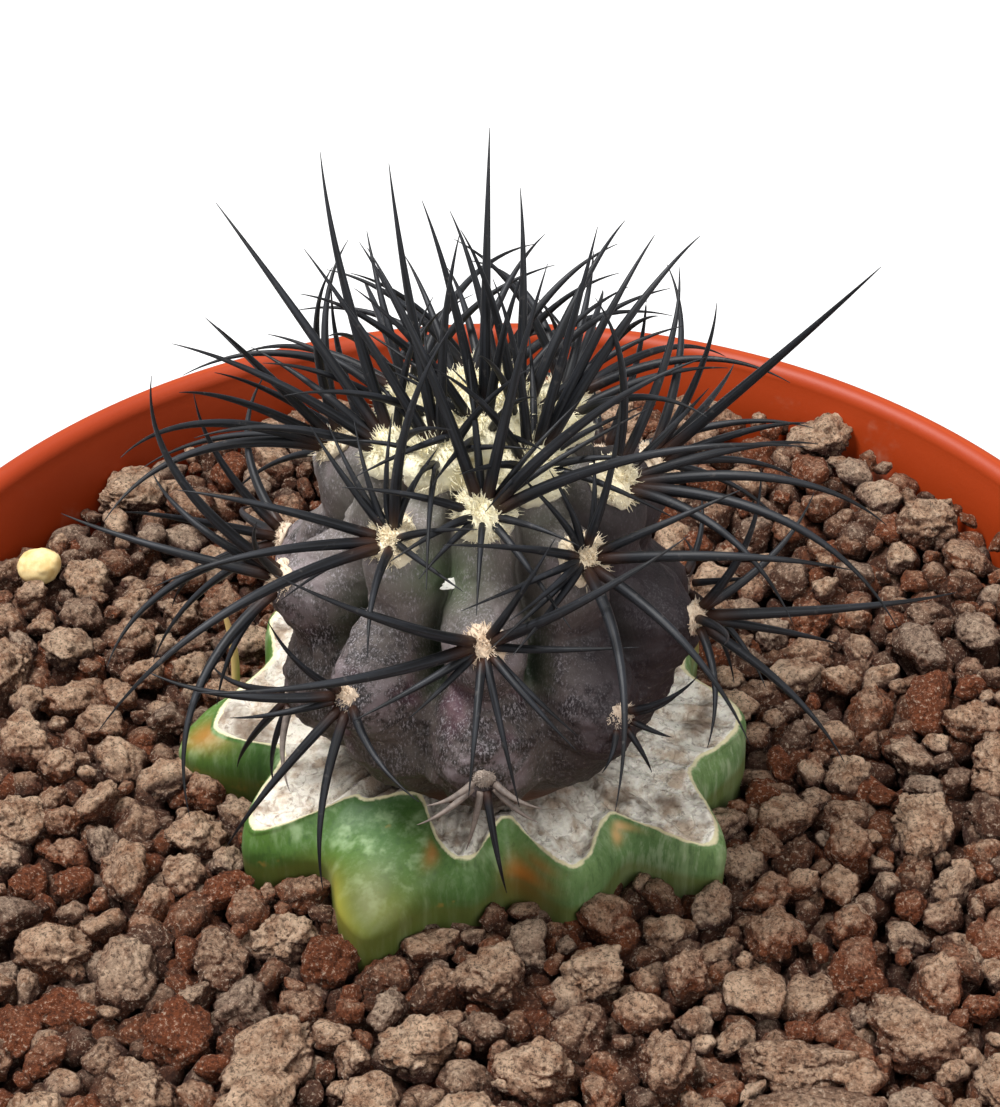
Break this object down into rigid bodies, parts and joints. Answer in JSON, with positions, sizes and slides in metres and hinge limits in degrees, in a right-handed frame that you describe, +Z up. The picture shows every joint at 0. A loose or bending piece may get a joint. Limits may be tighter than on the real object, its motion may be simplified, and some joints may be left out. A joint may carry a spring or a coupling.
{
  "type": "potted round cactus",
  "caption": "Round ribbed cactus with long black spines, grafted on a low green rootstock with a dry cut face, in a round terracotta-coloured plant pot filled with lava grit.",
  "frame": {"origin": "centre of the pot's foot ring, on the surface that it stands on", "axes": "+Z up along the pot's axis, the plant's front faces -Y, +X to its right as seen from the front"},
  "size_m": [0.14, 0.14, 0.1787],
  "materials": {
    "pot_plastic": "satin terracotta-coloured plastic, dusty inside the rim",
    "lava_grit": "rough porous lava grit, pinkish grey-brown with red-brown grains and dark gaps",
    "lava_stone": "rough pitted lava stone",
    "cream_stone": "smooth cream pebble",
    "stock_skin": "waxy green plant skin, cut face dry and off-white",
    "cactus_skin": "purple-grey plant skin with a whitish bloom",
    "spine": "charcoal black, slight sheen; cream wool at the base"
  },
  "bodies": {
    "root": {"pot": "pot_plastic", "lava_bed": "lava_grit", "rootstock": "stock_skin", "cactus_body": "cactus_skin", "cream_pebble": "cream_stone", "lava_stone_01": "lava_stone", "lava_stone_02": "lava_stone", "lava_stone_03": "lava_stone", "lava_stone_04": "lava_stone", "lava_stone_05": "lava_stone", "lava_stone_06": "lava_stone", "lava_stone_07": "lava_stone", "lava_stone_08": "lava_stone", "lava_stone_09": "lava_stone", "lava_stone_10": "lava_stone", "lava_stone_11": "lava_stone", "lava_stone_12": "lava_stone", "lava_stone_13": "lava_stone", "lava_stone_14": "lava_stone", "lava_stone_15": "lava_stone", "spines_rib01_row1": "spine", "spines_rib01_row2": "spine", "spines_rib01_row3": "spine", "spines_rib01_row4": "spine", "spines_rib02_row1": "spine", "spines_rib02_row2": "spine", "spines_rib02_row3": "spine", "spines_rib03_row1": "spine", "spines_rib03_row2": "spine", "spines_rib03_row3": "spine", "spines_rib04_row1": "spine", "spines_rib04_row2": "spine", "spines_rib04_row3": "spine", "spines_rib05_row1": "spine", "spines_rib05_row2": "spine", "spines_rib05_row3": "spine", "spines_rib06_row1": "spine", "spines_rib06_row2": "spine", "spines_rib06_row3": "spine", "spines_rib07_row1": "spine", "spines_rib07_row2": "spine", "spines_rib07_row3": "spine", "spines_rib08_row1": "spine", "spines_rib08_row2": "spine", "spines_rib08_row3": "spine", "spines_rib09_row1": "spine", "spines_rib09_row2": "spine", "spines_rib09_row3": "spine", "spines_rib09_row4": "spine", "spines_rib10_row1": "spine", "spines_rib10_row2": "spine", "spines_rib10_row3": "spine"}
  },
  "joints": []
}
